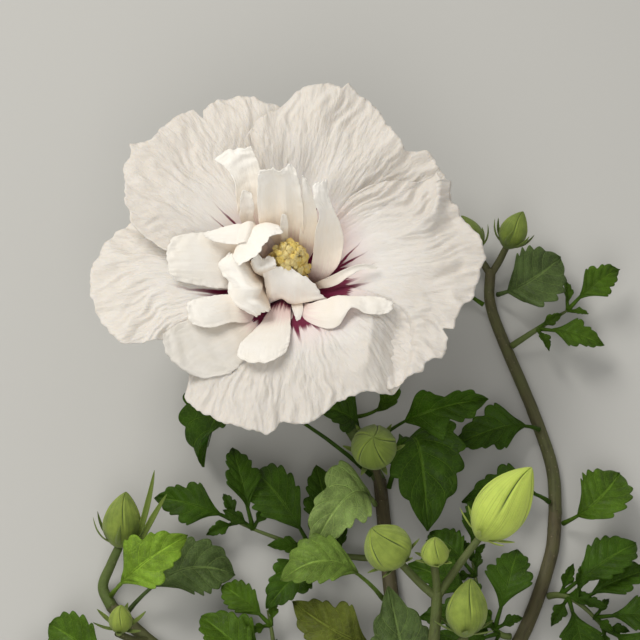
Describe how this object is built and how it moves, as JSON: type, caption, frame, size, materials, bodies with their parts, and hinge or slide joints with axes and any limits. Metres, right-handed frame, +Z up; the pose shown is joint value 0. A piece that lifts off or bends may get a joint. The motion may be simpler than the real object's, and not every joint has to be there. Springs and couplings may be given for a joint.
{
  "type": "cut rose of sharon sprig",
  "caption": "Cut flowering shrub sprig lying flat: a large ruffled double white bloom with a crimson eye and yellow stamens, green buds, lobed leaves and woody shoots.",
  "frame": {"origin": "middle of the sprig's footprint, on the surface that it lies on", "axes": "+Z up, the way the bloom faces; +Y along the stem, away from its cut end; +X to the right shoot"},
  "size_m": [0.1784, 0.2024, 0.07],
  "materials": {
    "petal": "matte",
    "sepal": "satin",
    "leaf": "satin",
    "bark": "matte"
  },
  "bodies": {
    "root": {"bloom": "petal", "bloom_calyx": "sepal", "bud_centre": "sepal", "bud_left": "sepal", "bud_left_low": "sepal", "bud_right_a": "sepal", "bud_right_b": "sepal", "bud_front_a": "sepal", "bud_front_b": "sepal", "bud_front_c": "sepal", "bud_front_d": "sepal", "main_stem": "bark", "bloom_stalk": "bark", "left_shoot": "bark", "left_shoot_tip": "bark", "right_shoot": "bark", "right_shoot_tip": "bark", "front_shoot": "bark", "leaf_left_of_bloom": "leaf", "leaf_below_bud": "leaf", "leaf_large_right": "leaf", "leaf_tilted_right": "leaf", "leaf_behind_petal": "leaf", "leaf_narrow": "leaf", "leaf_right_a": "leaf", "leaf_right_b": "leaf", "leaf_right_outer": "leaf", "leaf_left_bright": "leaf", "leaf_left_grey": "leaf", "leaf_low_olive": "leaf", "leaf_mid_light": "leaf", "leaf_low_broad": "leaf", "leaf_cluster_right": "leaf", "leaf_cluster_left": "leaf", "spray_middle": "leaf", "spray_low_middle": "leaf", "spray_left": "leaf", "spray_low_right": "leaf", "spray_right": "leaf", "spray_low": "leaf", "spray_right_high": "leaf"}
  },
  "joints": []
}
